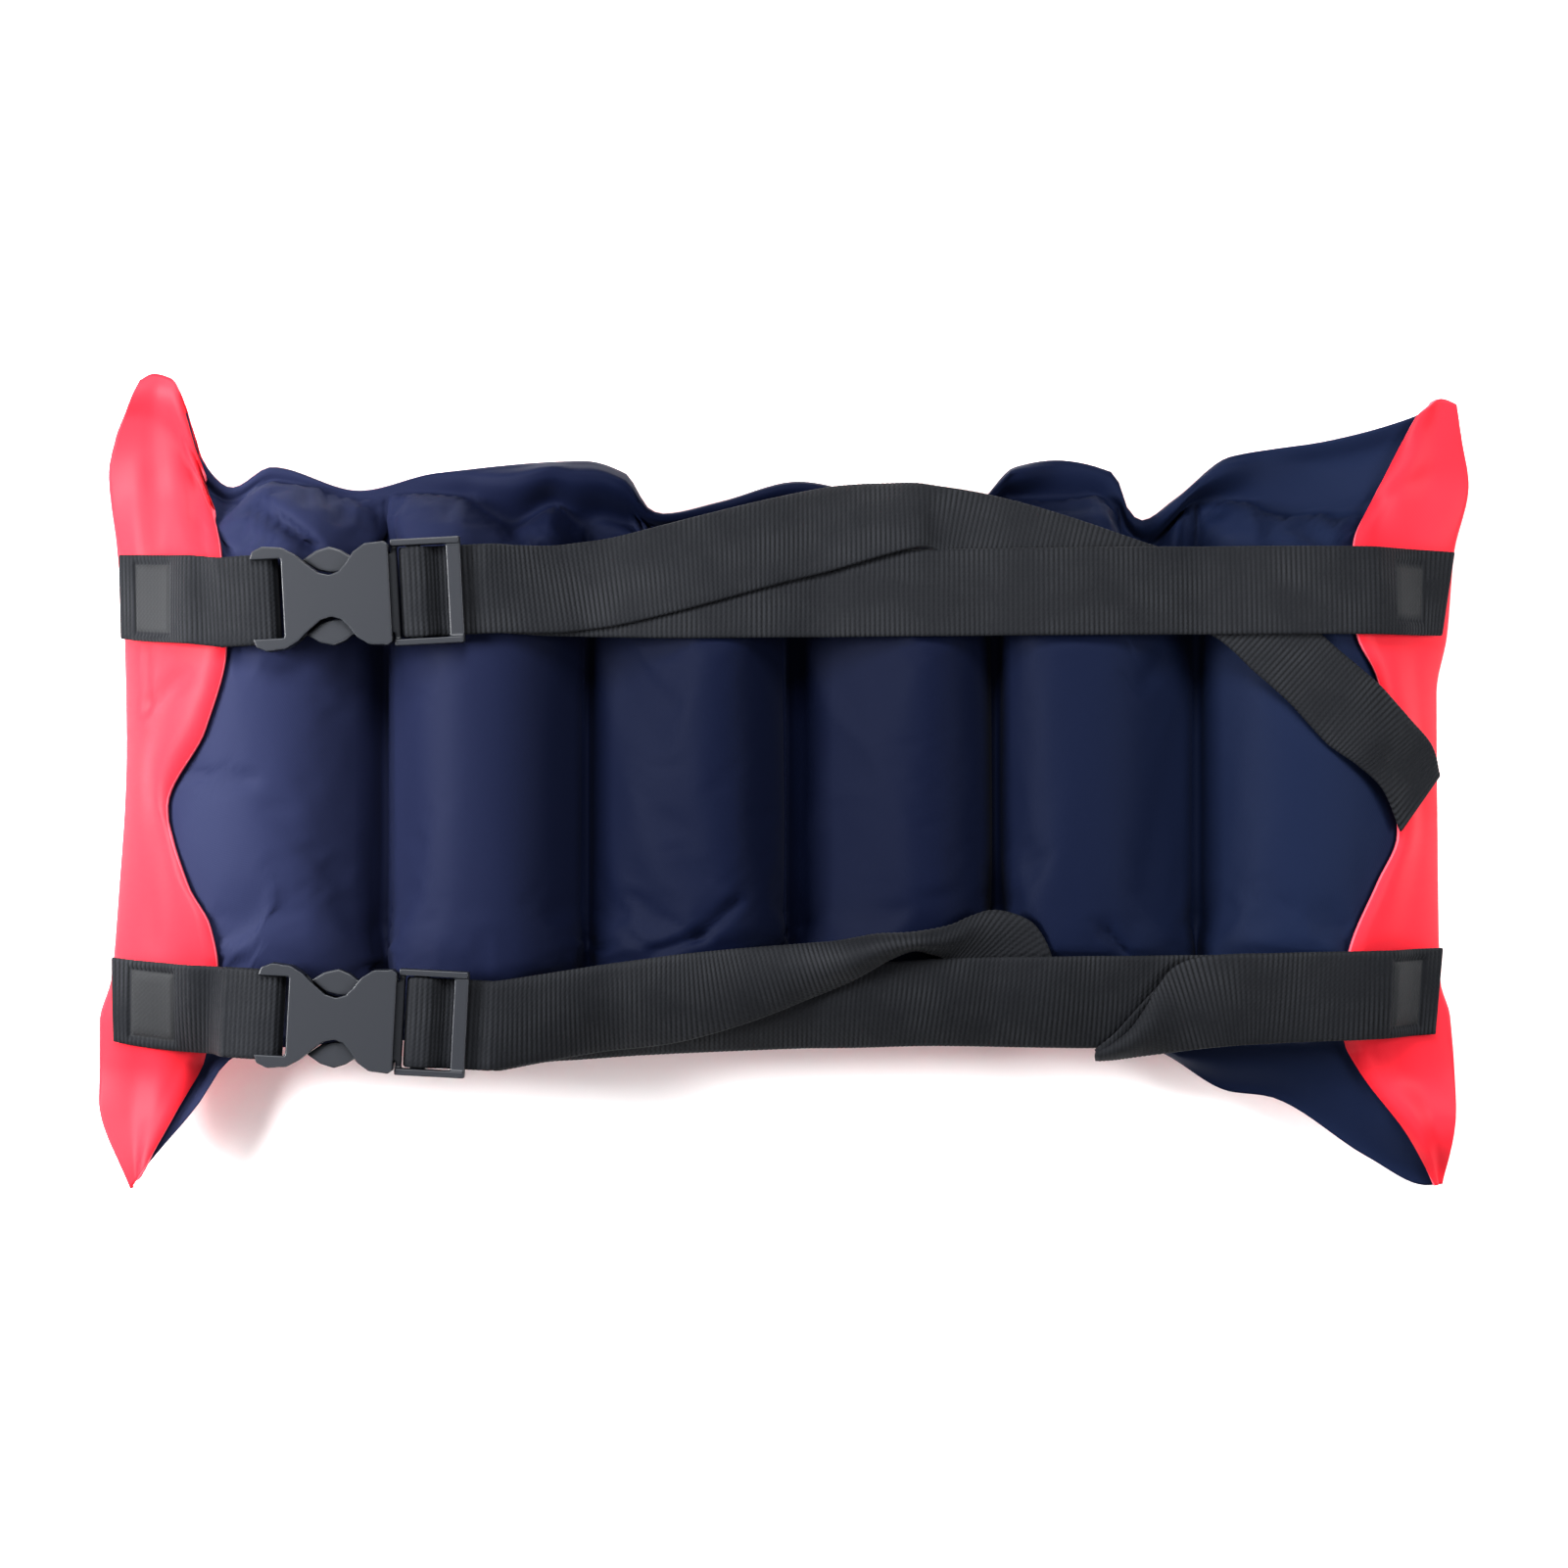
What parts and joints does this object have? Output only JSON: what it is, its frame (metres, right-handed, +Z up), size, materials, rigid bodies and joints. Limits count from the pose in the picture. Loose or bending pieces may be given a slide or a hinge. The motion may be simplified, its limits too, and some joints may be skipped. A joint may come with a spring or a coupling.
{
  "type": "inflatable swim belt",
  "caption": "Flat inflatable swim belt with upright air tubes between two fabric walls, webbing straps and fastened side-release buckles.",
  "frame": {"origin": "middle of the lying belt, on the surface that it rests on", "axes": "+X along the belt away from the buckles, +Y across it towards the upper strap, +Z up, out of the wearer's side"},
  "size_m": [0.4681, 0.2771, 0.071],
  "materials": {
    "navy_fabric": "smooth coated nylon, soft sheen",
    "red_fabric": "smooth coated nylon, soft sheen",
    "webbing": "ribbed black webbing",
    "buckle_plastic": "satin moulded plastic"
  },
  "bodies": {
    "root": {"inner_panel": "navy_fabric", "outer_panel": "red_fabric", "upper_anchor_strap": "webbing", "upper_waist_strap": "webbing", "upper_buckle_socket": "buckle_plastic", "upper_buckle_clip": "buckle_plastic", "lower_anchor_strap": "webbing", "lower_waist_strap": "webbing", "lower_buckle_socket": "buckle_plastic", "lower_buckle_clip": "buckle_plastic"}
  },
  "joints": []
}
